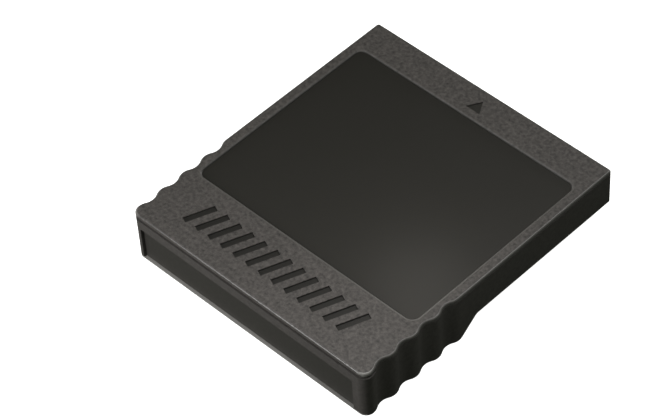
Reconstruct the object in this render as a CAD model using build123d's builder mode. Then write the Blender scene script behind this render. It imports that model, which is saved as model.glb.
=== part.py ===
"""Console memory card: a two-piece moulded housing around a small circuit board.

X runs across the card, +Y is the way it slides into the console and +Z is up. The origin lies in the middle
of the card's footprint, level with the underside of the thick handle. Sizes are in millimetres.
"""
import os

from build123d import *

os.makedirs("parts", exist_ok=True)

# Housing, outer form
card_width = 42.0
card_length = 46.9
handle_thickness = 8.3
body_thickness = 5.9
handle_corner_radius = 1.3
nose_corner_radius = 0.4
rim_radius = 0.3
under_edge_chamfer = 0.1
wall_draft = 0.3

# Wave grips moulded into both sides of the handle
wave_count = 4
wave_pitch = 4.0
wave_depth = 0.55

# Ramp under the card, from the handle up to the thinner body
ramp_start = 17.6
ramp_run = 3.0
ramp_blend_radius = 1.0

# Shell walls, the seam where the two shells meet and the groove along it at the handle's end
cover_rim = 0.65
cover_thickness = 1.5
seam_chamfer = 0.1
groove_height = 0.45
groove_depth = 0.3
side_wall = 1.15
floor_wall = 1.1
handle_wall = 1.1
nose_wall = 1.4
fit_clearance = 0.1

# Shallow label recess in the top
label_width = 38.6
label_length = 31.0
label_start = 10.6
label_depth = 0.3
label_corner_radius = 1.2
label_edge_chamfer = 0.2

# Arrow that shows which end goes in
arrow_width = 2.4
arrow_length = 2.1
arrow_tip_margin = 1.8
arrow_depth = 0.2

# Row of slanted grip marks pressed into the handle's top
mark_count = 13
mark_pitch = 2.3
mark_length = 4.6
mark_width = 1.0
mark_lean = 22.0
mark_depth = 0.2
mark_row = 5.6

# Finger pocket in the handle's end face
pocket_left_margin = 1.4
pocket_right_margin = 2.3
pocket_depth = 0.5
pocket_brow = 2.55
pocket_lip = 0.3
pocket_corner_radius = 0.25

# Connector mouth in the nose
mouth_width = 28.4
mouth_sill = 0.9
mouth_height = 3.2
mouth_corner_radius = 0.4

# Screw that draws the shells together from below
screw_from_end = 9.4
screw_head_radius = 1.8
screw_head_height = 1.1
screw_head_sink = 0.6
screw_shank_radius = 1.0
screw_bite = 3.2
screw_tip_room = 0.4
screw_hole_clearance = 0.2
screw_pilot_clearance = 0.05
screw_slot_width = 0.55
screw_slot_length = 2.0
screw_slot_depth = 0.5
screw_head_chamfer = 0.4
boss_wall = 1.2
boss_web = 1.2

# Circuit board, its bearer ribs, locating pins and hold-down pads
board_thickness = 1.2
board_side_gap = 1.8
board_back = 14.6
board_nose_setback = 3.4
tongue_side_gap = 0.6
tongue_setback = 0.8
tongue_chamfer = 0.5
rib_height = 0.4
rib_width = 1.8
rib_end_margin = 1.5
pin_radius = 0.8
pin_clearance = 0.1
pin_edge_margin = 2.4
pin_back_margin = 4.0
pin_rise = 0.4
hold_down_width = 1.0
hold_down_length = 3.0
hold_down_edge_margin = 0.3
hold_down_end_margin = 1.0

# Gold edge contacts on the board's tongue
contact_count = 12
contact_pitch = 2.0
contact_width = 1.4
contact_length = 4.4
contact_thickness = 0.05
contact_edge_margin = 0.3

# Gull-wing leads, shared by both chips
lead_thickness = 0.13
lead_shoulder = 0.25
lead_foot = 0.45
lead_slope = 0.15
chip_standoff = 0.1

# Memory chip
memory_width = 18.4
memory_length = 12.0
memory_height = 1.0
memory_lead_count = 24
memory_lead_pitch = 0.48
memory_lead_width = 0.2
memory_x = -5.2
memory_from_board_back = 17.0
memory_mark_radius = 0.5
memory_mark_margin = 1.4
memory_mark_depth = 0.1

# Controller chip
controller_size = 7.0
controller_height = 1.0
controller_lead_count = 8
controller_lead_pitch = 0.8
controller_lead_width = 0.3
controller_x = 10.4
controller_from_board_back = 17.0
controller_mark_radius = 0.35
controller_mark_margin = 0.9
controller_mark_depth = 0.1

# Small two-ended parts along the back of the board
capacitor_count = 4
capacitor_length = 2.0
capacitor_width = 1.25
capacitor_height = 0.8
capacitor_cap = 0.45
capacitor_pitch = 3.2
capacitor_x = -6.0
capacitor_from_board_back = 6.0
resistor_count = 5
resistor_length = 1.6
resistor_width = 0.8
resistor_height = 0.45
resistor_cap = 0.35
resistor_pitch = 1.8
resistor_x = 8.0
resistor_from_board_back = 6.0
reservoir_length = 3.2
reservoir_width = 1.6
reservoir_height = 1.2
reservoir_cap = 0.5
reservoir_x = 0.6
reservoir_from_board_back = 6.0

# Levels, worked out from the thicknesses
top_z = handle_thickness
rim_z = top_z - cover_rim
groove_z = rim_z - groove_height
ceiling_z = top_z - cover_thickness
body_under_z = handle_thickness - body_thickness
body_floor_z = body_under_z + floor_wall
board_z = body_floor_z + rib_height
board_top_z = board_z + board_thickness
head_seat_z = screw_head_sink + screw_head_height
web_top_z = head_seat_z + boss_web

# Stations along the card, worked out from the handle's end
handle_y = -card_length / 2
nose_y = card_length / 2
half_width = card_width / 2
wave_end_y = handle_y + handle_corner_radius + wave_count * wave_pitch
ramp_start_y = handle_y + ramp_start
ramp_end_y = ramp_start_y + ramp_run
cavity_width = card_width - 2 * (wave_depth + side_wall)
cavity_back_y = handle_y + pocket_depth + handle_wall
cavity_nose_y = nose_y - nose_wall
screw_y = handle_y + screw_from_end
board_back_y = handle_y + board_back
board_front_y = nose_y - board_nose_setback
tongue_y = nose_y - tongue_setback
board_width = cavity_width - 2 * board_side_gap
tongue_width = mouth_width - 2 * tongue_side_gap
pin_x = board_width / 2 - pin_edge_margin
pin_y = board_back_y + pin_back_margin
rib_length = board_front_y - board_back_y - 2 * rib_end_margin
rib_y = (board_front_y + board_back_y) / 2
hold_down_span = board_width - 2 * hold_down_edge_margin - hold_down_width
hold_down_run = board_front_y - board_back_y - 2 * hold_down_end_margin - hold_down_length
memory_y = board_back_y + memory_from_board_back
controller_y = board_back_y + controller_from_board_back

# Faces that look down more steeply than this belong to the underside, not to the drafted walls
steepest_under = -0.5

# Plan outline of the card: half of it is drawn, then mirrored
with BuildSketch() as card_outline:
    with BuildLine():
        crest = (half_width, handle_y + handle_corner_radius)
        Line((0, handle_y), (half_width - handle_corner_radius, handle_y))
        RadiusArc((half_width - handle_corner_radius, handle_y), crest, -handle_corner_radius)
        for wave in range(wave_count):
            crest_y = handle_y + handle_corner_radius + wave * wave_pitch
            into_trough = (half_width - wave_depth / 2, crest_y + wave_pitch / 4)
            trough = (half_width - wave_depth, crest_y + wave_pitch / 2)
            out_of_trough = (half_width - wave_depth / 2, crest_y + wave_pitch * 3 / 4)
            next_crest = (half_width, crest_y + wave_pitch)
            TangentArc((half_width, crest_y), into_trough, tangent=(0, 1))
            ThreePointArc(into_trough, trough, out_of_trough)
            TangentArc(next_crest, out_of_trough, tangent=(0, -1))
        Line((half_width, wave_end_y), (half_width, nose_y - nose_corner_radius))
        RadiusArc(
            (half_width, nose_y - nose_corner_radius),
            (half_width - nose_corner_radius, nose_y),
            -nose_corner_radius,
        )
        Line((half_width - nose_corner_radius, nose_y), (0, nose_y))
        mirror(about=Plane.YZ)
    make_face()

# Lower shell: a deep tray with a stepped underside, a finger pocket and the connector mouth
with BuildPart() as bottom_shell:
    with BuildSketch(Plane.XY.offset(rim_z)):
        add(card_outline.sketch)
    extrude(amount=-rim_z, taper=wall_draft)

    # Ramp and thinner body, cut from below
    with BuildSketch(Plane.YZ):
        with BuildLine():
            FilletPolyline(
                (ramp_start_y - ramp_run, 0),
                (ramp_start_y, 0),
                (ramp_end_y, body_under_z),
                (nose_y + ramp_run, body_under_z),
                radius=ramp_blend_radius,
            )
            Polyline(
                (nose_y + ramp_run, body_under_z),
                (nose_y + ramp_run, -ramp_run),
                (ramp_start_y - ramp_run, -ramp_run),
                (ramp_start_y - ramp_run, 0),
            )
        make_face()
    extrude(amount=card_width, both=True, mode=Mode.SUBTRACT)

    # Eased lower edge, all the way round: the edges that only one downward face owns
    under_edges = bottom_shell.faces().filter_by(lambda face: face.normal_at().Z < steepest_under).edges()
    lower_rim = [edge for edge in under_edges if sum(edge.is_same(other) for other in under_edges) == 1]
    chamfer(lower_rim, under_edge_chamfer)

    # Groove under the cover's rim, round the handle's end until it runs out in the first troughs
    groove_reach = handle_corner_radius + wave_pitch / 2
    with BuildSketch(Plane.XY.offset(groove_z)):
        with Locations((0, handle_y)):
            Rectangle(card_width, 2 * groove_reach)
        with Locations((0, handle_y + groove_depth)):
            RectangleRounded(
                card_width - 2 * groove_depth,
                4 * groove_reach,
                handle_corner_radius - groove_depth,
                align=(Align.CENTER, Align.MIN),
                mode=Mode.SUBTRACT,
            )
    extrude(amount=groove_height, mode=Mode.SUBTRACT)

    # Hollow inside, stepped like the underside
    with BuildSketch(Plane.YZ):
        with BuildLine():
            Polyline(
                (cavity_back_y, floor_wall),
                (ramp_start_y, floor_wall),
                (ramp_end_y, body_floor_z),
                (cavity_nose_y, body_floor_z),
                (cavity_nose_y, rim_z),
                (cavity_back_y, rim_z),
                close=True,
            )
        make_face()
    extrude(amount=cavity_width / 2, both=True, mode=Mode.SUBTRACT)

    # Finger pocket in the end face
    pocket_width = card_width - pocket_left_margin - pocket_right_margin
    pocket_height = top_z - pocket_brow - pocket_lip
    with BuildSketch(Plane.XZ.offset(-handle_y)):
        with Locations(((pocket_left_margin - pocket_right_margin) / 2, pocket_lip + pocket_height / 2)):
            RectangleRounded(pocket_width, pocket_height, pocket_corner_radius)
    extrude(amount=-pocket_depth, mode=Mode.SUBTRACT)

    # Connector mouth through the nose wall
    with BuildSketch(Plane.XZ.offset(-nose_y)):
        with Locations((0, body_under_z + mouth_sill + mouth_height / 2)):
            RectangleRounded(mouth_width, mouth_height, mouth_corner_radius)
    extrude(amount=nose_wall, mode=Mode.SUBTRACT)

    # Screw boss on the floor, with its counterbore opening below
    with BuildSketch(Plane.XY.offset(floor_wall)):
        with Locations((0, screw_y)):
            Circle(screw_head_radius + screw_hole_clearance + boss_wall)
    extrude(amount=web_top_z - floor_wall)
    with Locations(Plane((0, screw_y, 0), z_dir=(0, 0, -1))):
        CounterBoreHole(
            screw_shank_radius + screw_hole_clearance,
            screw_head_radius + screw_hole_clearance,
            head_seat_z,
        )

    # Bearer ribs and locating pins for the board
    with BuildSketch(Plane.XY.offset(body_floor_z)):
        with Locations((-pin_x, rib_y), (pin_x, rib_y)):
            Rectangle(rib_width, rib_length)
    extrude(amount=rib_height)
    with BuildSketch(Plane.XY.offset(board_z)):
        with Locations((-pin_x, pin_y), (pin_x, pin_y)):
            Circle(pin_radius)
    extrude(amount=board_thickness + pin_rise)
bottom_shell.part.label = "bottom_shell"
export_step(bottom_shell.part, "parts/bottom_shell.step")

# Upper shell: a thin cover that laps into the tray
with BuildPart() as top_shell:
    with BuildSketch(Plane.XY.offset(rim_z)):
        add(card_outline.sketch)
    extrude(amount=cover_rim)
    fillet(top_shell.faces().sort_by(Axis.Z)[-1].edges(), rim_radius)
    chamfer(top_shell.faces().sort_by(Axis.Z)[0].edges(), seam_chamfer)

    # Spigot that drops inside the tray's walls
    with BuildSketch(Plane.XY.offset(rim_z)):
        with Locations((0, (cavity_back_y + cavity_nose_y) / 2)):
            Rectangle(cavity_width - 2 * fit_clearance, cavity_nose_y - cavity_back_y - 2 * fit_clearance)
    extrude(amount=ceiling_z - rim_z)

    # Label recess with an eased edge
    with BuildSketch(Plane.XY.offset(top_z)):
        with Locations((0, handle_y + label_start + label_length / 2)):
            RectangleRounded(label_width, label_length, label_corner_radius)
    extrude(amount=-label_depth, mode=Mode.SUBTRACT)
    label_floor = top_shell.faces().filter_by(Plane.XY).group_by(Axis.Z)[-2].sort_by(SortBy.AREA)[-1]
    label_brink = top_shell.edges().filter_by_position(Axis.Z, top_z, top_z).filter_by(
        lambda edge: edge.distance_to(label_floor) < label_depth + label_edge_chamfer
    )
    chamfer(label_brink, label_edge_chamfer)

    # Arrow towards the nose
    with BuildSketch(Plane.XY.offset(top_z)):
        with BuildLine():
            Polyline(
                (0, nose_y - arrow_tip_margin),
                (-arrow_width / 2, nose_y - arrow_tip_margin - arrow_length),
                (arrow_width / 2, nose_y - arrow_tip_margin - arrow_length),
                close=True,
            )
        make_face()
    extrude(amount=-arrow_depth, mode=Mode.SUBTRACT)

    # Grip marks
    with BuildSketch(Plane.XY.offset(top_z)):
        with Locations((0, handle_y + mark_row)):
            with GridLocations(mark_pitch, 1, mark_count, 1):
                Rectangle(mark_width, mark_length, rotation=-mark_lean)
    extrude(amount=-mark_depth, mode=Mode.SUBTRACT)

    # Screw boss with its pilot hole, and the pads that hold the board's corners down
    with BuildSketch(Plane.XY.offset(ceiling_z)):
        with Locations((0, screw_y)):
            Circle(screw_shank_radius + screw_pilot_clearance + boss_wall)
    extrude(amount=web_top_z - ceiling_z)
    with BuildSketch(Plane.XY.offset(web_top_z)):
        with Locations((0, screw_y)):
            Circle(screw_shank_radius + screw_pilot_clearance)
    extrude(amount=screw_bite + screw_tip_room, mode=Mode.SUBTRACT)
    with BuildSketch(Plane.XY.offset(ceiling_z)):
        with Locations((0, rib_y)):
            with GridLocations(hold_down_span, hold_down_run, 2, 2):
                Rectangle(hold_down_width, hold_down_length)
    extrude(amount=board_top_z - ceiling_z)
top_shell.part.label = "top_shell"
export_step(top_shell.part, "parts/top_shell.step")

# Screw: a flat head with a cross recess on a plain shank
with BuildPart() as shell_screw:
    with BuildSketch(Plane.XY.offset(screw_head_sink)):
        with Locations((0, screw_y)):
            Circle(screw_head_radius)
    extrude(amount=screw_head_height)
    chamfer(shell_screw.faces().sort_by(Axis.Z)[0].edges(), screw_head_chamfer)
    with BuildSketch(Plane.XY.offset(head_seat_z)):
        with Locations((0, screw_y)):
            Circle(screw_shank_radius)
    extrude(amount=boss_web + screw_bite)
    with BuildSketch(Plane.XY.offset(screw_head_sink)):
        with Locations((0, screw_y)):
            Rectangle(screw_slot_length, screw_slot_width)
            Rectangle(screw_slot_width, screw_slot_length)
    extrude(amount=screw_slot_depth, mode=Mode.SUBTRACT)
shell_screw.part.label = "shell_screw"
export_step(shell_screw.part, "parts/shell_screw.step")

# Circuit board with the tongue that shows in the mouth
with BuildPart() as circuit_board:
    with BuildSketch(Plane.XY.offset(board_z)):
        with Locations((0, rib_y)):
            Rectangle(board_width, board_front_y - board_back_y)
        with Locations((0, (board_front_y + tongue_y) / 2)):
            Rectangle(tongue_width, tongue_y - board_front_y)
        with Locations((-pin_x, pin_y), (pin_x, pin_y)):
            Circle(pin_radius + pin_clearance, mode=Mode.SUBTRACT)
    extrude(amount=board_thickness)
    tongue_corners = circuit_board.edges().filter_by(Axis.Z).group_by(Axis.Y)[-1]
    chamfer(tongue_corners, tongue_chamfer)
circuit_board.part.label = "circuit_board"
export_step(circuit_board.part, "parts/circuit_board.step")

# Edge contacts on the upper face of the tongue
with BuildPart() as edge_contacts:
    with BuildSketch(Plane.XY.offset(board_top_z)):
        with Locations((0, tongue_y - contact_edge_margin - contact_length / 2)):
            with GridLocations(contact_pitch, 1, contact_count, 1):
                Rectangle(contact_width, contact_length)
    extrude(amount=contact_thickness)
edge_contacts.part.label = "edge_contacts"
export_step(edge_contacts.part, "parts/edge_contacts.step")


def chip_body(x, y, width, length, height, mark_radius, mark_margin, mark_depth):
    """A moulded chip body over the board, with a round dimple that marks its first corner."""
    with BuildPart() as body:
        with BuildSketch(Plane.XY.offset(board_top_z + chip_standoff)):
            with Locations((x, y)):
                Rectangle(width, length)
        extrude(amount=height)
        with BuildSketch(Plane.XY.offset(board_top_z + chip_standoff + height)):
            with Locations((x - width / 2 + mark_margin, y + length / 2 - mark_margin)):
                Circle(mark_radius)
        extrude(amount=-mark_depth, mode=Mode.SUBTRACT)
    return body.part


def lead_rows(x, y, span, height, count, pitch, width, turns):
    """Rows of gull-wing leads round a chip, one row for each turn about its centre."""
    shoulder_z = board_top_z + chip_standoff + height / 2
    knee_x = span / 2 + lead_shoulder
    ankle_x = knee_x + lead_slope
    with BuildPart() as row:
        with BuildSketch(Plane.XZ):
            with BuildLine():
                Polyline(
                    (span / 2, shoulder_z),
                    (knee_x, shoulder_z),
                    (ankle_x, board_top_z),
                    (ankle_x + lead_foot, board_top_z),
                    (ankle_x + lead_foot, board_top_z + lead_thickness),
                    (ankle_x + lead_thickness, board_top_z + lead_thickness),
                    (knee_x + lead_thickness, shoulder_z + lead_thickness),
                    (span / 2, shoulder_z + lead_thickness),
                    close=True,
                )
            make_face()
        extrude(amount=width / 2, both=True)
    with BuildPart() as rows:
        with Locations(Pos(x, y)):
            for turn in turns:
                with Locations(Rot(0, 0, turn)):
                    with GridLocations(1, pitch, 1, count):
                        add(row.part)
    return rows.part


memory_chip = chip_body(
    memory_x, memory_y, memory_width, memory_length, memory_height,
    memory_mark_radius, memory_mark_margin, memory_mark_depth,
)
memory_chip.label = "memory_chip"
export_step(memory_chip, "parts/memory_chip.step")

memory_chip_leads = lead_rows(
    memory_x, memory_y, memory_width, memory_height,
    memory_lead_count, memory_lead_pitch, memory_lead_width, (0, 180),
)
memory_chip_leads.label = "memory_chip_leads"
export_step(memory_chip_leads, "parts/memory_chip_leads.step")

controller_chip = chip_body(
    controller_x, controller_y, controller_size, controller_size, controller_height,
    controller_mark_radius, controller_mark_margin, controller_mark_depth,
)
controller_chip.label = "controller_chip"
export_step(controller_chip, "parts/controller_chip.step")

controller_chip_leads = lead_rows(
    controller_x, controller_y, controller_size, controller_height,
    controller_lead_count, controller_lead_pitch, controller_lead_width, (0, 90, 180, 270),
)
controller_chip_leads.label = "controller_chip_leads"
export_step(controller_chip_leads, "parts/controller_chip_leads.step")


def two_ended_part(name, x, from_board_back, count, pitch, length, width, height, cap):
    """A row of small soldered parts: their bodies in one node, their end caps in another."""
    y = board_back_y + from_board_back
    with BuildPart() as bodies:
        with BuildSketch(Plane.XY.offset(board_top_z)):
            with Locations((x, y)):
                with GridLocations(pitch, 1, count, 1):
                    Rectangle(width, length - 2 * cap)
        extrude(amount=height)
    with BuildPart() as caps:
        with BuildSketch(Plane.XY.offset(board_top_z)):
            with Locations((x, y)):
                with GridLocations(pitch, length - cap, count, 2):
                    Rectangle(width, cap)
        extrude(amount=height)
    bodies.part.label = name
    caps.part.label = name + "_ends"
    export_step(bodies.part, f"parts/{name}.step")
    export_step(caps.part, f"parts/{name}_ends.step")


two_ended_part(
    "bypass_capacitors", capacitor_x, capacitor_from_board_back, capacitor_count, capacitor_pitch,
    capacitor_length, capacitor_width, capacitor_height, capacitor_cap,
)
two_ended_part(
    "pull_up_resistors", resistor_x, resistor_from_board_back, resistor_count, resistor_pitch,
    resistor_length, resistor_width, resistor_height, resistor_cap,
)
two_ended_part(
    "reservoir_capacitor", reservoir_x, reservoir_from_board_back, 1, reservoir_width,
    reservoir_length, reservoir_width, reservoir_height, reservoir_cap,
)
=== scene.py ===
"""Looks of the console memory card: its finishes, its studio and its camera.

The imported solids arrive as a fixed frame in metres, with +Y the way the card slides into the console and +Z
out of its label side. Finishes read their place on the card in millimetres.
"""

import logging
import math
from abc import ABC, abstractmethod
from dataclasses import dataclass
from enum import Enum
from functools import lru_cache
from typing import Any, Dict, List, Optional, Sequence, Tuple, Union

import bmesh
import bpy
from mathutils import Matrix, Vector


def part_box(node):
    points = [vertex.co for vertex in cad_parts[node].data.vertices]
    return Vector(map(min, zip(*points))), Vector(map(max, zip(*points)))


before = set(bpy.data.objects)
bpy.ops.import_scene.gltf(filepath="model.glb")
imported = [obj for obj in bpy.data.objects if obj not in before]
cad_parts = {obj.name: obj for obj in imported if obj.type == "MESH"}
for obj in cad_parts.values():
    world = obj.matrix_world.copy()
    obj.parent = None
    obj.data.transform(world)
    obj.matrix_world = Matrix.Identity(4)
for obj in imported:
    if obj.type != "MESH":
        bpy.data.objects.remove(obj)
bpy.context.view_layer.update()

log = logging.getLogger("memory_card")

MM = 0.001

Colour = Tuple[float, float, float]
Point = Tuple[float, float, float]
Term = Union["Field", float]


class Slot(Enum):
    """The record's material slots."""

    SHELL = "shell_plastic"
    SCREW = "plated_screw"
    BOARD = "board_laminate"
    GOLD = "gold_plating"
    CHIP = "chip_resin"
    TIN = "tinned_metal"
    CERAMIC = "capacitor_ceramic"
    GLAZE = "resistor_glaze"
    RESERVOIR = "reservoir_resin"


class Field:
    """A number that varies over a surface, held by one socket of a shader graph."""

    def __init__(self, graph: "Graph", socket: bpy.types.NodeSocket) -> None:
        """Wraps a socket.

        Args:
            graph: The graph that the socket belongs to.
            socket: The output that carries the number.
        """
        self.graph = graph
        self.socket = socket

    def _math(self, operation: str, *terms: Term) -> "Field":
        """Adds one Math node.

        Args:
            operation: The node's operation.
            terms: Its inputs, in order.

        Returns:
            The node's result.
        """
        node = self.graph.add("ShaderNodeMath", {"operation": operation}, dict(enumerate(terms)))
        return Field(self.graph, node.outputs[0])

    def __add__(self, other: Term) -> "Field":
        """Sum."""
        return self._math("ADD", self, other)

    def __radd__(self, other: float) -> "Field":
        """Sum with a number on the left."""
        return self._math("ADD", other, self)

    def __sub__(self, other: Term) -> "Field":
        """Difference."""
        return self._math("SUBTRACT", self, other)

    def __rsub__(self, other: float) -> "Field":
        """Difference from a number on the left."""
        return self._math("SUBTRACT", other, self)

    def __mul__(self, other: Term) -> "Field":
        """Product."""
        return self._math("MULTIPLY", self, other)

    def __rmul__(self, other: float) -> "Field":
        """Product with a number on the left."""
        return self._math("MULTIPLY", other, self)

    def __truediv__(self, other: Term) -> "Field":
        """Quotient."""
        return self._math("DIVIDE", self, other)

    def __rtruediv__(self, other: float) -> "Field":
        """Quotient with a number on the left."""
        return self._math("DIVIDE", other, self)

    def __pow__(self, other: Term) -> "Field":
        """Power."""
        return self._math("POWER", self, other)

    def __abs__(self) -> "Field":
        """Distance from zero."""
        return self._math("ABSOLUTE", self)

    def __mod__(self, other: float) -> "Field":
        """Remainder that never falls below zero, for patterns that repeat."""
        return self._math("FLOORED_MODULO", self, other)

    def higher(self, other: Term) -> "Field":
        """The greater of two numbers."""
        return self._math("MAXIMUM", self, other)

    def lower(self, other: Term) -> "Field":
        """The lesser of two numbers."""
        return self._math("MINIMUM", self, other)

    def swing(self, reach: float) -> "Field":
        """Turns a number from 0 to 1 into one that swings about zero over that reach."""
        return (self - 0.5) * reach

    def ramp(self, start: float, end: float) -> "Field":
        """Goes smoothly from 0 to 1.

        Args:
            start: Where the result is 0.
            end: Where the result is 1, on either side of start.

        Returns:
            A mask from 0 to 1.
        """
        node = self.graph.add(
            "ShaderNodeMapRange",
            {"interpolation_type": "SMOOTHSTEP"},
            {"Value": self, "From Min": start, "From Max": end},
        )
        return Field(self.graph, node.outputs["Result"])

    def between(self, low: float, high: float, soft: float) -> "Field":
        """A mask that is 1 from low to high and fades out over soft at both ends."""
        return self.ramp(low - soft, low) * self.ramp(high + soft, high)


Feed = Union[Field, bpy.types.NodeSocket, float, Sequence[float]]


def opaque(colour: Feed) -> Feed:
    """Gives a colour its alpha, and leaves a link as it is."""
    return (*colour, 1.0) if isinstance(colour, tuple) and len(colour) == 3 else colour


def scaled(colour: Colour, share: float) -> Colour:
    """A lighter or darker colour of the same hue."""
    red, green, blue = colour
    return (share * red, share * green, share * blue)


class Graph:
    """The shader graph of one material."""

    def __init__(self, name: str) -> None:
        """Starts an empty material.

        Args:
            name: The material's name.
        """
        self.material = bpy.data.materials.new(name)
        self.material.use_nodes = True
        self.tree = self.material.node_tree
        self.tree.nodes.clear()

    def add(
        self,
        kind: str,
        settings: Optional[Dict[str, Any]] = None,
        feeds: Optional[Dict[Union[str, int], Feed]] = None,
    ) -> bpy.types.Node:
        """Adds one node.

        Args:
            kind: The node's type.
            settings: Its own properties, which are set first.
            feeds: The values or links of its input sockets, by name or number.

        Returns:
            The node.
        """
        node = self.tree.nodes.new(kind)
        for name, value in (settings or {}).items():
            setattr(node, name, value)
        for key, value in (feeds or {}).items():
            if isinstance(value, Field):
                value = value.socket
            if isinstance(value, bpy.types.NodeSocket):
                self.tree.links.new(value, node.inputs[key])
            else:
                node.inputs[key].default_value = value
        return node

    def place(
        self,
        centre: Point = (0.0, 0.0, 0.0),
        stretch: Point = (1.0, 1.0, 1.0),
    ) -> bpy.types.NodeSocket:
        """Object coordinates in millimetres.

        Args:
            centre: The point of the card, in millimetres, that becomes the pattern's origin.
            stretch: How much closer together the pattern lies along each axis.

        Returns:
            The socket with the coordinates.
        """
        coordinates = self.add("ShaderNodeTexCoord")
        mapping = self.add(
            "ShaderNodeMapping",
            {"vector_type": "POINT"},
            {
                "Vector": coordinates.outputs["Object"],
                "Location": tuple(-c * s for c, s in zip(centre, stretch)),
                "Scale": tuple(s / MM for s in stretch),
            },
        )
        return mapping.outputs["Vector"]

    def axes(self, place: bpy.types.NodeSocket) -> List[Field]:
        """The three numbers of a place."""
        split = self.add("ShaderNodeSeparateXYZ", feeds={"Vector": place})
        return [Field(self, output) for output in split.outputs]

    def noise(
        self,
        place: bpy.types.NodeSocket,
        size: float,
        detail: float = 2.0,
        rough: float = 0.5,
    ) -> Field:
        """Smooth random relief.

        Args:
            place: Where it is read, in millimetres.
            size: The width of its largest features, in millimetres.
            detail: How many finer layers it has.
            rough: How strong those layers are.

        Returns:
            A number from 0 to 1, about 0.5 on average.
        """
        node = self.add(
            "ShaderNodeTexNoise",
            {"noise_dimensions": "3D"},
            {"Vector": place, "Scale": 1.0 / size, "Detail": detail, "Roughness": rough},
        )
        return Field(self, node.outputs[0])

    def cells(self, place: bpy.types.NodeSocket, size: float) -> Field:
        """Pits of random size: the distance to the nearest of scattered points.

        Args:
            place: Where it is read, in millimetres.
            size: The usual distance between the points, in millimetres.

        Returns:
            A number from 0 at a point to about 1 between points.
        """
        node = self.add(
            "ShaderNodeTexVoronoi",
            {"voronoi_dimensions": "3D", "feature": "F1"},
            {"Vector": place, "Scale": 1.0 / size},
        )
        return Field(self, node.outputs["Distance"])

    def blend(self, share: Feed, first: Feed, second: Feed) -> bpy.types.NodeSocket:
        """Mixes two colours.

        Args:
            share: The share of the second colour.
            first: A colour or a link.
            second: A colour or a link.

        Returns:
            The socket with the mixed colour.
        """
        feeds = {0: share, 6: opaque(first), 7: opaque(second)}
        node = self.add("ShaderNodeMix", {"data_type": "RGBA", "clamp_factor": True}, feeds)
        return node.outputs[2]

    def relief(
        self,
        height: Field,
        depth: float,
        under: Optional[bpy.types.NodeSocket] = None,
    ) -> bpy.types.NodeSocket:
        """Turns a height from 0 to 1 into a bumped normal.

        Args:
            height: The relief.
            depth: Its depth in millimetres.
            under: A normal that it is laid over.

        Returns:
            The socket with the normal.
        """
        feeds: Dict[Union[str, int], Feed] = {"Height": height, "Distance": depth * MM}
        if under is not None:
            feeds["Normal"] = under
        return self.add("ShaderNodeBump", feeds=feeds).outputs["Normal"]

    def close(self, **feeds: Feed) -> None:
        """Ends the graph in a Principled shader.

        Args:
            feeds: Its sockets, with an underscore for each space in their names.
        """
        named = {key.replace("_", " "): value for key, value in feeds.items()}
        if "Base Color" in named:
            named["Base Color"] = opaque(named["Base Color"])
        shader = self.add("ShaderNodeBsdfPrincipled", feeds=named)
        self.add("ShaderNodeOutputMaterial", feeds={"Surface": shader.outputs["BSDF"]})


class Finish(ABC):
    """A procedural finish for one slot of the record."""

    slot: Slot

    @abstractmethod
    def paint(self, graph: Graph) -> None:
        """Fills the graph of the finish's material."""

    @lru_cache(maxsize=None)
    def material(self) -> bpy.types.Material:
        """Makes the finish's material once, for all the nodes that share it.

        Returns:
            The material.
        """
        graph = Graph(f"{self.slot.value}_finish")
        self.paint(graph)
        return graph.material


@dataclass(frozen=True)
class Spot:
    """A place on a shell in millimetres, also as lengths down from the top and in from the handle's end."""

    x: Field
    y: Field
    z: Field
    below: Field
    from_end: Field


@dataclass(frozen=True)
class ShellMasks:
    """Masks from 0 to 1 of a shell's features, with all the polished ones together and all the edges painted
    for wear and painted highlight together.
    """

    floors: Field
    pocket: Field
    polished: Field
    long_edges: Field
    rim: Field
    brink: Field
    lip: Field
    # The rim, the brink and the lip: the edges that carry wear and painted highlight.
    wear_and_highlight: Field
    corners: Field
    walls: Field


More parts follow.
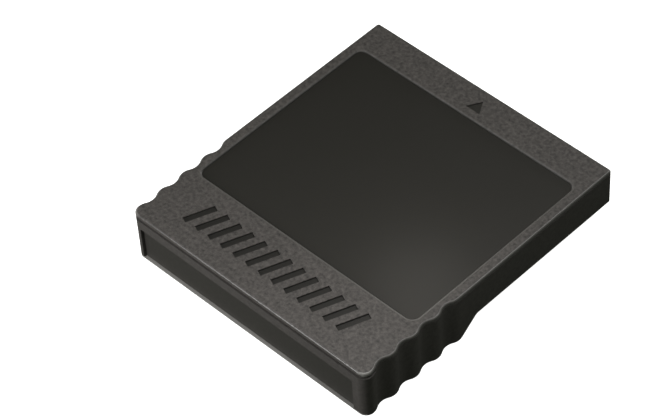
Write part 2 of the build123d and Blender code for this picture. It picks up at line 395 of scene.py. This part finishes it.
@dataclass(frozen=True)
class ShellPlan:
    """Where the features of the shells lie.

    Lengths are in millimetres. Depths are measured down from the top of the card. The margin is the strip
    round its plan that holds the rounded rim. Masks fade over the widths called soft, firm and crisp.
    """

    top: float
    half_width: float
    half_length: float
    margin: float = 0.9
    soft: float = 0.1
    firm: float = 0.05
    crisp: float = 0.03
    floor_from: float = 0.15
    floor_to: float = 0.36
    mark_depth: float = 0.23
    label_depth: float = 0.27
    label_half_width: float = 19.3
    label_back: float = -12.85
    label_front: float = 18.15
    label_corner: float = 1.2
    brink_width: float = 0.3
    brink_fade: float = 0.12
    brink_depth: float = 0.1
    brink_end: float = 0.16
    far_brink: float = 0.3
    rim_start: float = 0.003
    rim_full: float = 0.012
    rim_height: float = 0.3
    long_rim_height: float = 0.75
    long_edge_from: float = 0.15
    long_edge_to: float = 0.3
    corner_inner: float = 0.7
    corner_outer: float = 0.2
    corner_reach: float = 0.9
    pocket_from: float = 0.44
    pocket_to: float = 0.7
    pocket_brow: float = 2.55
    lip_height: float = 0.37
    lip_reach: float = 0.44
    lip_fade: float = 0.3
    lip_fade_from: float = 0.2
    lip_fade_to: float = 0.8
    wall_start: float = 0.1
    wall_full: float = 0.3
    foot_start: float = 0.12
    foot_full: float = 0.3
    ramp_start: float = -5.85
    ramp_run: float = 3.0
    ramp_rise: float = 2.4

    @property
    def side(self) -> float:
        """How far from the middle the margin along the long sides begins."""
        return self.half_width - self.margin

    @property
    def end(self) -> float:
        """How far from the middle the margin along the handle's end and the nose begins."""
        return self.half_length - self.margin

    def spot(self, graph: Graph, place: bpy.types.NodeSocket) -> Spot:
        """Splits a place into the lengths that the masks read."""
        x, y, z = graph.axes(place)
        return Spot(x, y, z, below=self.top - z, from_end=y + self.half_length)

    def masks(self, spot: Spot) -> ShellMasks:
        """Marks every feature of a shell.

        Args:
            spot: The place on the shell.

        Returns:
            The masks of its features there.
        """
        between_sides = abs(spot.x).ramp(self.side + self.soft, self.side)
        inside = between_sides * abs(spot.y).ramp(self.end + self.soft, self.end)
        floors = inside * spot.below.between(self.floor_from, self.floor_to, self.crisp)
        pocket = self.pocket_back(spot, between_sides)
        long_edges = abs(spot.x).ramp(self.side + self.long_edge_from, self.side + self.long_edge_to)
        rim = (1 - inside) * self.rim_depth(spot, long_edges)
        brink = self.label_brink(spot)
        lip = self.pocket_lip(spot)
        return ShellMasks(
            floors=floors,
            pocket=pocket,
            polished=floors.higher(pocket),
            long_edges=long_edges,
            rim=rim,
            brink=brink,
            lip=lip,
            wear_and_highlight=rim.higher(brink).higher(lip),
            corners=self.handle_corners(spot) * rim,
            walls=self.upright_walls(spot),
        )

    def pocket_back(self, spot: Spot, between_sides: Field) -> Field:
        """The back wall of the pocket in the handle's end.

        Args:
            spot: The place on the shell.
            between_sides: The mask between the margins of the long sides.

        Returns:
            Its mask.
        """
        back = spot.from_end.between(self.pocket_from, self.pocket_to, self.crisp)
        brow = spot.below.ramp(self.pocket_brow, self.pocket_brow + self.firm)
        return back * between_sides * brow

    def rim_depth(self, spot: Spot, long_edges: Field) -> Field:
        """The depths that the rounded rim of the top takes up, more of them along the long sides.

        Args:
            spot: The place on the shell.
            long_edges: The mask of the long sides' outer edges.

        Returns:
            Its mask.
        """
        start = spot.below.ramp(self.rim_start, self.rim_full)
        foot = spot.below.ramp(self.rim_height + self.crisp, self.rim_height)
        # Along the long sides the pale edge paint reaches further down the rim, so the painted highlight runs
        # down the side.
        long_foot = long_edges * spot.below.ramp(self.long_rim_height, self.rim_height)
        return start * foot.higher(long_foot)

    def label_distance(self, spot: Spot) -> Field:
        """How far a place lies outside the label recess, below zero inside it.

        Args:
            spot: The place on the shell.

        Returns:
            The distance in millimetres.
        """
        middle = (self.label_back + self.label_front) / 2
        reach = (self.label_front - self.label_back) / 2
        past_x = abs(spot.x) - (self.label_half_width - self.label_corner)
        past_y = abs(spot.y - middle) - (reach - self.label_corner)
        round_corner = (past_x.higher(0.0) ** 2 + past_y.higher(0.0) ** 2) ** 0.5
        return round_corner + past_x.higher(past_y).lower(0.0) - self.label_corner

    def label_brink(self, spot: Spot) -> Field:
        """The edge round the label recess, painted paler for wear and painted highlight, less so towards the
        nose and on the left.

        Args:
            spot: The place on the shell.

        Returns:
            Its mask.
        """
        ring = self.label_distance(spot).between(0.0, self.brink_width, self.brink_fade)
        ring = ring * spot.below.ramp(self.brink_end, self.brink_depth)
        near_nose = spot.y.ramp(self.label_front - self.label_corner, self.label_front + self.soft)
        near_left = spot.x.ramp(self.label_corner - self.label_half_width, -self.soft - self.label_half_width)
        return ring * (1 - (1 - self.far_brink) * near_nose.higher(near_left))

    def pocket_lip(self, spot: Spot) -> Field:
        """The lip under the pocket, painted pale as painted bounce light and highlight, less so towards the
        right.

        Args:
            spot: The place on the shell.

        Returns:
            Its mask.
        """
        reach = spot.from_end.ramp(self.lip_reach + self.firm, self.lip_reach)
        height = spot.z.ramp(self.lip_height, self.lip_height - self.firm)
        to_right = (spot.x / self.half_width).ramp(self.lip_fade_from, self.lip_fade_to)
        return reach * height * (1 - self.lip_fade * to_right)

    def handle_corners(self, spot: Spot) -> Field:
        """The two corners of the handle's end.

        Args:
            spot: The place on the shell.

        Returns:
            Their mask.
        """
        across = abs(spot.x).ramp(self.side - self.corner_inner, self.side + self.corner_outer)
        return across * spot.from_end.ramp(self.margin + self.corner_reach, self.margin)

    def upright_walls(self, spot: Spot) -> Field:
        """The walls between the top's rim and the stepped underside.

        Args:
            spot: The place on the shell.

        Returns:
            Their mask.
        """
        up_ramp = ((spot.y - self.ramp_start) / self.ramp_run).higher(0.0).lower(1.0)
        above_foot = spot.z - up_ramp * self.ramp_rise
        under_rim = spot.below.ramp(self.wall_start, self.wall_full)
        return under_rim * above_foot.ramp(self.foot_start, self.foot_full)

    def on_handle(self, spot: Spot) -> Field:
        """The part of the top behind the label recess."""
        return spot.y.ramp(self.label_back + self.soft, self.label_back - self.soft)

    def at_label_depth(self, spot: Spot) -> Field:
        """The label's floor, which lies deeper than the arrow and the grip marks."""
        return spot.below.ramp(self.mark_depth, self.label_depth)


@dataclass(frozen=True)
class Grain:
    """The random reliefs of a spark-eroded skin, and how strong they are."""

    coarse: Field
    fine: Field
    pits: Field
    cloud: Field
    calm: Field


@dataclass(frozen=True)
class MouldedPlastic(Finish):
    """Dark moulded plastic with a spark-eroded skin, polished floors and edges painted paler for wear and
    painted highlight.

    Lengths are in millimetres. A tint or a spread is how far a relief swings the colour or the roughness.
    """

    plan: ShellPlan
    skin: Colour = (0.0668, 0.0606, 0.0570)
    contrast: float = 0.85
    label_floor: Colour = (0.0118, 0.0106, 0.0082)
    arrow_floor: Colour = (0.0200, 0.0186, 0.0156)
    # The marks' floor is darker than the arrow's: painted shade in the engraved marks.
    mark_floor_painted_shade: Colour = (0.0070, 0.0064, 0.0052)
    pocket_floor: Colour = (0.0408, 0.0380, 0.0345)
    pocket_contrast: float = 0.25
    # Pale paint on the rim and the label's brink: wear together with painted highlight.
    wear_and_highlight: Colour = (0.122, 0.117, 0.110)
    # Pale paint of painted light: painted bounce light and highlight on the pocket's lip, painted highlight
    # on the handle's corners.
    painted_edge_light: Colour = (0.360, 0.350, 0.334)
    # The share of that paint along the handle's end and the nose, kept low so the painted highlight there
    # stays dim.
    end_wear_and_highlight: float = 0.21
    # How much of that painted highlight the handle's corners get.
    corner_highlight_share: float = 0.56
    wear_and_highlight_base: float = 0.55
    wear_and_highlight_grain: float = 0.5
    wear_smoothing: float = 0.8
    coarse_size: float = 0.46
    fine_size: float = 0.16
    pit_size: float = 0.598
    cloud_size: float = 9.0
    coarse_tint: float = 1.3
    fine_tint: float = 0.5
    pit_tint: float = 0.3
    cloud_tint: float = 0.15
    wall_grain: float = 0.35
    floor_grain: float = 0.15
    pit_share: float = 0.3
    coarse_depth: float = 0.07
    fine_depth: float = 0.012
    skin_roughness: float = 0.62
    skin_spread: float = 0.14
    polish_roughness: float = 0.47
    polish_spread: float = 0.06
    worn_roughness: float = 0.32
    slot: Slot = Slot.SHELL

    def paint(self, graph: Graph) -> None:
        """Paints the skin, then the polished floors, then the edges painted for wear and painted highlight.

        Args:
            graph: The graph of the shells' material.
        """
        place = graph.place()
        spot = self.plan.spot(graph, place)
        masks = self.plan.masks(spot)
        grain = Grain(
            coarse=graph.noise(place, self.coarse_size, detail=3.0, rough=0.6),
            fine=graph.noise(place, self.fine_size),
            pits=graph.cells(place, self.pit_size),
            cloud=graph.noise(place, self.cloud_size),
            calm=1 - masks.walls * (1 - self.wall_grain),
        )
        graph.close(
            Base_Color=self.colour(graph, spot, masks, grain),
            Roughness=self.roughness(masks, grain),
            Normal=self.normal(graph, masks, grain),
        )

    def colour(self, graph: Graph, spot: Spot, masks: ShellMasks, grain: Grain) -> bpy.types.NodeSocket:
        """Lays the floors, with painted shade in the marks on the handle, then the edges painted for wear and
        painted highlight, then painted bounce light and highlight on the lip and the handle's corners, over a
        mottled skin.

        Args:
            graph: The graph of the shells' material.
            spot: The place on the shell.
            masks: The shell's features there.
            grain: The skin's reliefs there.

        Returns:
            The socket with the colour.
        """
        tint = grain.coarse.swing(self.coarse_tint) + grain.fine.swing(self.fine_tint)
        tint = tint + grain.cloud.swing(self.cloud_tint) + grain.pits.swing(self.pit_tint)
        darkest = scaled(self.skin, 1 - self.contrast)
        lightest = scaled(self.skin, 1 + self.contrast)
        skin = graph.blend(tint * grain.calm + 0.5, darkest, lightest)

        # The marks on the handle get a darker floor than the arrow: painted shade in the engraved marks.
        marks = graph.blend(self.plan.on_handle(spot), self.arrow_floor, self.mark_floor_painted_shade)
        floor = graph.blend(self.plan.at_label_depth(spot), marks, self.label_floor)
        colour = graph.blend(masks.floors, skin, floor)
        darkest = scaled(self.pocket_floor, 1 - self.pocket_contrast)
        lightest = scaled(self.pocket_floor, 1 + self.pocket_contrast)
        colour = graph.blend(masks.pocket, colour, graph.blend(grain.coarse, darkest, lightest))

        # Paler edge paint on the rim and the label's brink: wear together with painted highlight, full along
        # the long sides and weaker at the ends.
        patchy = self.wear_and_highlight_base + grain.fine * self.wear_and_highlight_grain
        rim_wear_and_highlight = masks.rim * (self.end_wear_and_highlight + masks.long_edges * (1 - self.end_wear_and_highlight))
        colour = graph.blend(rim_wear_and_highlight.higher(masks.brink) * patchy, colour, self.wear_and_highlight)
        # Painted bounce light and highlight on the pocket's lip, painted highlight on the handle's corners.
        painted_lip_and_corner_light = masks.lip.higher(masks.corners * self.corner_highlight_share)
        return graph.blend(painted_lip_and_corner_light * patchy, colour, self.painted_edge_light)

    def roughness(self, masks: ShellMasks, grain: Grain) -> Field:
        """Makes the floors smoother than the skin and the rubbed, paler painted edges smoother still.

        Args:
            masks: The shell's features.
            grain: The skin's reliefs.

        Returns:
            The roughness.
        """
        skin = self.skin_roughness + grain.fine.swing(self.skin_spread)
        polish = self.polish_roughness + grain.cloud.swing(self.polish_spread)
        rough = skin * (1 - masks.polished) + masks.polished * polish
        return rough * (1 - masks.wear_and_highlight) + masks.wear_and_highlight * self.worn_roughness

    def normal(self, graph: Graph, masks: ShellMasks, grain: Grain) -> bpy.types.NodeSocket:
        """Embosses the grain, calmer on the walls and nearly gone on floors and on the rubbed, paler painted
        edges.

        Args:
            graph: The graph of the shells' material.
            masks: The shell's features.
            grain: The skin's reliefs.

        Returns:
            The socket with the normal.
        """
        texture = (1 - masks.polished) * grain.calm
        height = grain.coarse * (1 - self.pit_share) + grain.pits * self.pit_share
        height = height * (texture * (1 - masks.wear_and_highlight * self.wear_smoothing))
        coarse = graph.relief(height, self.coarse_depth)
        fine_height = grain.fine * (texture * (1 - self.floor_grain) + self.floor_grain)
        return graph.relief(fine_height, self.fine_depth, coarse)


@dataclass(frozen=True)
class ZincPlate(Finish):
    """Zinc plated steel, turned in rings about the screw's axis. Lengths are in millimetres."""

    axis: Point
    bright: Colour = (0.66, 0.66, 0.67)
    dull: Colour = (0.44, 0.44, 0.46)
    ring: float = 0.16
    cloud_size: float = 0.8
    cloud_share: float = 0.5
    depth: float = 0.004
    roughness: float = 0.26
    spread: float = 0.2
    slot: Slot = Slot.SCREW

    def paint(self, graph: Graph) -> None:
        """Paints faint turning rings and a cloudy passivated skin.

        Args:
            graph: The graph of the screw's material.
        """
        place = graph.place(self.axis)
        x, y, _ = graph.axes(place)
        radius = (x * x + y * y) ** 0.5
        rings = abs((radius / self.ring) % 1.0 - 0.5) * 2
        cloud = graph.noise(place, self.cloud_size, detail=3.0, rough=0.6)
        colour = graph.blend(cloud, self.dull, self.bright)
        rough = self.roughness + cloud * self.spread
        normal = graph.relief(rings + cloud * self.cloud_share, self.depth)
        graph.close(Base_Color=colour, Metallic=1.0, Roughness=rough, Normal=normal)


@dataclass(frozen=True)
class SolderMask(Finish):
    """Green solder mask over copper tracks, on a pale laminate that shows at the cut edges.

    Lengths are in millimetres. Tracks run back from the contacts, at their pitch.
    """

    low: float
    high: float
    track_pitch: float
    mask: Colour = (0.012, 0.105, 0.035)
    track: Colour = (0.030, 0.190, 0.065)
    laminate: Colour = (0.42, 0.40, 0.22)
    laminate_dark: float = 0.8
    laminate_pale: float = 1.15
    track_width: float = 0.5
    track_fade: float = 0.05
    mask_edge: float = 0.06
    mask_full: float = 0.03
    weave_size: float = 0.5
    weave_stretch: Point = (1.0, 4.0, 1.0)
    ripple_size: float = 0.7
    ripple_share: float = 0.2
    depth: float = 0.03
    laminate_roughness: float = 0.72
    mask_gloss: float = 0.42
    spread: float = 0.1
    slot: Slot = Slot.BOARD

    def paint(self, graph: Graph) -> None:
        """Paints tracks under the mask and bare laminate at the edges.

        Args:
            graph: The graph of the board's material.
        """
        place = graph.place()
        x, _, z = graph.axes(place)
        middle = (self.low + self.high) / 2
        half = (self.high - self.low) / 2
        face = abs(z - middle).ramp(half - self.mask_edge, half - self.mask_full)
        across = abs((x / self.track_pitch) % 1.0 - 0.5) * self.track_pitch
        tracks = across.ramp(self.track_width / 2 + self.track_fade, self.track_width / 2)
        weave = graph.noise(graph.place(stretch=self.weave_stretch), self.weave_size)
        ripple = graph.noise(place, self.ripple_size)

        green = graph.blend(tracks, self.mask, self.track)
        dark = scaled(self.laminate, self.laminate_dark)
        pale = scaled(self.laminate, self.laminate_pale)
        colour = graph.blend(face, graph.blend(weave, dark, pale), green)
        rough = self.laminate_roughness - face * self.mask_gloss + ripple.swing(self.spread)
        height = tracks * (1 - self.ripple_share) + ripple * self.ripple_share
        graph.close(Base_Color=colour, Roughness=rough, Normal=graph.relief(height, self.depth))


@dataclass(frozen=True)
class GoldPlate(Finish):
    """Gold plated contacts, scratched the way the card slides in. Lengths are in millimetres."""

    bright: Colour = (0.93, 0.66, 0.27)
    rubbed: Colour = (0.74, 0.50, 0.19)
    scratch_size: float = 0.8
    scratch_stretch: Point = (12.0, 0.6, 1.0)
    cloud_size: float = 0.9
    depth: float = 0.002
    roughness: float = 0.16
    spread: float = 0.2
    slot: Slot = Slot.GOLD

    def paint(self, graph: Graph) -> None:
        """Paints scratches along Y and a slightly uneven plate.

        Args:
            graph: The graph of the contacts' material.
        """
        along = graph.place(stretch=self.scratch_stretch)
        scratches = graph.noise(along, self.scratch_size, detail=3.0, rough=0.6)
        cloud = graph.noise(graph.place(), self.cloud_size)
        colour = graph.blend(scratches * 0.5 + cloud * 0.5, self.rubbed, self.bright)
        rough = self.roughness + scratches * self.spread
        normal = graph.relief(scratches, self.depth)
        graph.close(Base_Color=colour, Metallic=1.0, Roughness=rough, Normal=normal)


@dataclass(frozen=True)
class SpeckledSolid(Finish):
    """An opaque solid with a mottled colour and a grainy skin. Lengths are in millimetres."""

    slot: Slot
    dark: Colour
    pale: Colour
    mottle: float
    grain: float
    depth: float
    roughness: float
    metallic: float = 0.0
    contrast: float = 1.6
    spread: float = 0.2

    def paint(self, graph: Graph) -> None:
        """Paints the mottle, then the grain.

        Args:
            graph: The graph of the solid's material.
        """
        place = graph.place()
        mottle = graph.noise(place, self.mottle, detail=3.0, rough=0.55)
        grain = graph.noise(place, self.grain)
        colour = graph.blend(mottle.swing(self.contrast) + 0.5, self.dark, self.pale)
        rough = self.roughness + grain.swing(self.spread)
        normal = graph.relief(grain, self.depth)
        graph.close(Base_Color=colour, Metallic=self.metallic, Roughness=rough, Normal=normal)


CHIP_RESIN = SpeckledSolid(
    slot=Slot.CHIP,
    dark=(0.016, 0.016, 0.017),
    pale=(0.034, 0.034, 0.036),
    mottle=1.2,
    grain=0.12,
    depth=0.006,
    roughness=0.62,
)
BRIGHT_TIN = SpeckledSolid(
    slot=Slot.TIN,
    dark=(0.60, 0.60, 0.60),
    pale=(0.86, 0.86, 0.85),
    mottle=0.4,
    grain=0.1,
    depth=0.003,
    roughness=0.32,
    metallic=1.0,
)
FIRED_CERAMIC = SpeckledSolid(
    slot=Slot.CERAMIC,
    dark=(0.36, 0.25, 0.15),
    pale=(0.52, 0.38, 0.24),
    mottle=0.6,
    grain=0.15,
    depth=0.003,
    roughness=0.5,
)
DARK_GLAZE = SpeckledSolid(
    slot=Slot.GLAZE,
    dark=(0.014, 0.014, 0.016),
    pale=(0.04, 0.04, 0.042),
    mottle=0.5,
    grain=0.2,
    depth=0.003,
    roughness=0.25,
)
YELLOW_RESIN = SpeckledSolid(
    slot=Slot.RESERVOIR,
    dark=(0.50, 0.33, 0.05),
    pale=(0.68, 0.47, 0.10),
    mottle=0.8,
    grain=0.15,
    depth=0.004,
    roughness=0.45,
)


def dress(node: str, finish: Finish) -> None:
    """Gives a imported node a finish.

    Args:
        node: The node's name.
        finish: What it is dressed in.
    """
    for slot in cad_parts[node].material_slots:
        slot.material = finish.material()
    log.info("%s dressed in %s", node, finish.slot.value)


@dataclass
class Housing:
    """The two moulded shells and the screw that draws them together."""

    cover: str = "top_shell"
    tray: str = "bottom_shell"
    screw: str = "shell_screw"

    def build(self) -> None:
        """Dresses the shells and the screw."""
        _, high = (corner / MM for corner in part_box(self.cover))
        plastic = MouldedPlastic(ShellPlan(top=high.z, half_width=high.x, half_length=high.y))
        dress(self.cover, plastic)
        dress(self.tray, plastic)
        low, high = (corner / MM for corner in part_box(self.screw))
        dress(self.screw, ZincPlate(axis=tuple((low + high) / 2)))


@dataclass
class Electronics:
    """The circuit board and everything soldered to it.

    A contact takes up its share of the pitch, and the board's tracks lie at the contacts' pitch.
    """

    board: str = "circuit_board"
    contacts: str = "edge_contacts"
    contact_count: int = 12
    contact_share: float = 0.7

    def build(self) -> None:
        """Dresses the board, its contacts and its parts."""
        low, high = (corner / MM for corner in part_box(self.contacts))
        pitch = (high.x - low.x) / (self.contact_count - 1 + self.contact_share)
        low, high = (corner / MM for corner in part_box(self.board))
        dress(self.board, SolderMask(low=low.z, high=high.z, track_pitch=pitch))
        dress(self.contacts, GoldPlate())
        for chip in ("memory_chip", "controller_chip"):
            dress(chip, CHIP_RESIN)
            dress(f"{chip}_leads", BRIGHT_TIN)
        for part, finish in (
            ("bypass_capacitors", FIRED_CERAMIC),
            ("pull_up_resistors", DARK_GLAZE),
            ("reservoir_capacitor", YELLOW_RESIN),
        ):
            dress(part, finish)
            dress(f"{part}_ends", BRIGHT_TIN)


def direction(azimuth: float, elevation: float) -> Vector:
    """The way from the card to the camera.

    Args:
        azimuth: Degrees round the card from its handle end, towards +X.
        elevation: Degrees above the floor.

    Returns:
        A vector of length 1.
    """
    turn, rise = math.radians(azimuth), math.radians(elevation)
    level = math.cos(rise)
    return Vector((math.sin(turn) * level, -math.cos(turn) * level, math.sin(rise)))


@dataclass(frozen=True)
class Softbox:
    """A soft studio light. Lengths are in metres, and strength is its radiance.

    It hangs so far to the right, away and up, and faces a point given the same way, as the camera sees it.
    """

    name: str
    hangs: Point
    faces: Point
    width: float
    height: float
    strength: float
    tint: Colour = (1.0, 1.0, 1.0)

    def build(self, facing: float) -> None:
        """Hangs the light.

        Args:
            facing: The camera's azimuth in degrees, which turns right and away.
        """
        lamp = bpy.data.lights.new(self.name, "AREA")
        lamp.shape = "RECTANGLE"
        lamp.size = self.width
        lamp.size_y = self.height
        lamp.energy = self.strength * math.pi * self.width * self.height
        lamp.color = self.tint
        holder = bpy.data.objects.new(self.name, lamp)
        back = Vector(self.hangs) - Vector(self.faces)
        turn = Matrix.Rotation(math.radians(facing), 4, "Z")
        tilt = back.to_track_quat("Z", "Y").to_matrix().to_4x4()
        holder.matrix_world = turn @ Matrix.Translation(Vector(self.hangs)) @ tilt
        bpy.context.scene.collection.objects.link(holder)
        log.info("light %s", self.name)


@dataclass(frozen=True)
class Viewpoint:
    """The camera. Angles are in degrees, lengths in metres, and lens and sensor in millimetres."""

    azimuth: float = 46.872
    elevation: float = 47.349
    roll: float = 3.894
    distance: float = 0.38082
    aim: Point = (-0.001294, -0.005571, 0.0083)
    lens: float = 157.77
    sensor: float = 36.0
    nearest: float = 0.01
    farthest: float = 20.0

    def build(self) -> None:
        """Sets up the camera and makes it the scene's own."""
        data = bpy.data.cameras.new("viewpoint")
        data.sensor_width = self.sensor
        data.lens = self.lens
        data.clip_start = self.nearest
        data.clip_end = self.farthest
        camera = bpy.data.objects.new("viewpoint", data)
        back = direction(self.azimuth, self.elevation)
        level_right = Vector((0.0, 0.0, 1.0)).cross(back).normalized()
        level_up = back.cross(level_right)
        roll = math.radians(self.roll)
        up = level_up * math.cos(roll) + level_right * math.sin(roll)
        right = up.cross(back)
        turn = Matrix((right, up, back)).transposed().to_4x4()
        camera.matrix_world = Matrix.Translation(Vector(self.aim) + back * self.distance) @ turn
        bpy.context.scene.collection.objects.link(camera)
        bpy.context.scene.camera = camera
        log.info("camera at %.1f, %.1f degrees", self.azimuth, self.elevation)


@dataclass
class Studio:
    """A plain pale floor that curves up into a wall all round, with soft lights. Lengths are in metres."""

    floor_radius: float = 1.4
    cove_radius: float = 0.5
    wall_height: float = 1.2
    floor_colour: Colour = (0.92, 0.92, 0.915)
    floor_glow: float = 1.08
    sky: Colour = (0.044, 0.053, 0.038)
    warm: Colour = (1.0, 0.955, 0.89)
    steps: int = 12
    turns: int = 96
    weld: float = 0.0001

    def build(self, facing: float) -> None:
        """Builds the floor, the sky and the lights.

        Args:
            facing: The camera's azimuth in degrees.
        """
        self.build_floor()
        self.build_sky()
        for light in self.lights():
            light.build(facing)

    def lights(self) -> List[Softbox]:
        """The lights that stand round the card.

        Returns:
            Those for the sides that the main view shows, for the label, and for the sides it hides.
        """
        return [
            Softbox("right_fill", (0.060, -0.060, 0.110), (0.020, -0.020, 0.008), 0.06, 0.06, 1.7),
            Softbox("corner_top", (-0.0050, -0.0335, 0.042), (-0.0050, -0.0335, 0.0), 0.018, 0.010, 8.0),
            Softbox("end_key", (-0.102, -0.045, 0.045), (-0.015, -0.015, 0.006), 0.05, 0.05, 9.9),
            Softbox("end_fill", (-0.090, -0.070, 0.045), (-0.012, -0.018, 0.006), 0.05, 0.05, 2.1),
            Softbox("edge_line", (0.104, 0.019, 0.163), (0.014, -0.005, 0.008), 0.09, 0.09, 3.9),
            Softbox("label_glow", (0.005, 0.060, 0.160), (0.005, 0.060, 0.0), 0.09, 0.08, 1.8, self.warm),
            Softbox(
                "label_gleam",
                (0.0055, -0.005, 0.025),
                (0.0055, -0.0195, 0.008),
                0.01,
                0.01,
                1.5,
                self.warm,
            ),
            Softbox("left_low", (-0.109, 0.117, 0.030), (-0.014, 0.015, 0.004), 0.06, 0.03, 5.0),
            Softbox("nose_low", (0.117, 0.109, 0.030), (0.017, 0.016, 0.005), 0.06, 0.03, 8.0),
            Softbox("under_fill", (0.0, 0.0, -0.120), (0.0, 0.0, 0.0), 0.024, 0.024, 36.0),
        ]

    def build_floor(self) -> None:
        """Spins a flat radius with a curved end into a shallow bowl, which doesn't light the card."""
        bowl = bmesh.new()
        corners = [bowl.verts.new((0.0, 0.0, 0.0)), bowl.verts.new((self.floor_radius, 0.0, 0.0))]
        bowl.edges.new(corners)
        bend = bmesh.ops.spin(
            bowl,
            geom=[corners[1]],
            cent=(self.floor_radius, 0.0, self.cove_radius),
            axis=(0.0, -1.0, 0.0),
            angle=math.pi / 2,
            steps=self.steps,
        )
        top = next(item for item in bend["geom_last"] if isinstance(item, bmesh.types.BMVert))
        wall = bmesh.ops.extrude_vert_indiv(bowl, verts=[top])
        bmesh.ops.translate(bowl, verts=wall["verts"], vec=(0.0, 0.0, self.wall_height))
        bmesh.ops.spin(
            bowl,
            geom=list(bowl.edges),
            cent=(0.0, 0.0, 0.0),
            axis=(0.0, 0.0, 1.0),
            angle=2 * math.pi,
            steps=self.turns,
            use_merge=True,
        )
        bmesh.ops.remove_doubles(bowl, verts=bowl.verts, dist=self.weld)
        bmesh.ops.recalc_face_normals(bowl, faces=bowl.faces)
        bmesh.ops.reverse_faces(bowl, faces=bowl.faces)
        mesh = bpy.data.meshes.new("studio_floor")
        bowl.to_mesh(mesh)
        bowl.free()
        mesh.shade_smooth()
        floor = bpy.data.objects.new("studio_floor", mesh)
        bpy.context.scene.collection.objects.link(floor)
        mesh.materials.append(self.floor_paint())
        floor.visible_diffuse = False
        floor.visible_glossy = False
        floor.visible_shadow = False
        log.info("floor of %d faces", len(mesh.polygons))

    def floor_paint(self) -> bpy.types.Material:
        """Pale paint that glows a little and is clear from below.

        Returns:
            The floor's material.
        """
        graph = Graph("studio_paint")
        pale = opaque(self.floor_colour)
        matte = graph.add("ShaderNodeBsdfDiffuse", feeds={"Color": pale})
        glow = graph.add("ShaderNodeEmission", feeds={"Color": pale, "Strength": self.floor_glow})
        paint = graph.add("ShaderNodeAddShader", feeds={0: matte.outputs[0], 1: glow.outputs[0]})
        clear = graph.add("ShaderNodeBsdfTransparent")
        side = graph.add("ShaderNodeNewGeometry")
        both = graph.add(
            "ShaderNodeMixShader",
            feeds={0: side.outputs["Backfacing"], 1: paint.outputs[0], 2: clear.outputs[0]},
        )
        graph.add("ShaderNodeOutputMaterial", feeds={"Surface": both.outputs[0]})
        graph.material.cycles.emission_sampling = "NONE"
        return graph.material

    def build_sky(self) -> None:
        """Fills the room with an even dim light."""
        world = bpy.data.worlds.new("studio_air")
        world.use_nodes = True
        background = world.node_tree.nodes["Background"]
        background.inputs["Color"].default_value = opaque(self.sky)
        bpy.context.scene.world = world


def main() -> None:
    """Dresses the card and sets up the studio."""
    logging.basicConfig(level=logging.INFO, format="%(name)s: %(message)s")
    bpy.context.scene.view_settings.view_transform = "Standard"
    Housing().build()
    Electronics().build()
    viewpoint = Viewpoint()
    viewpoint.build()
    Studio().build(viewpoint.azimuth)


if __name__ == "__main__":
    main()
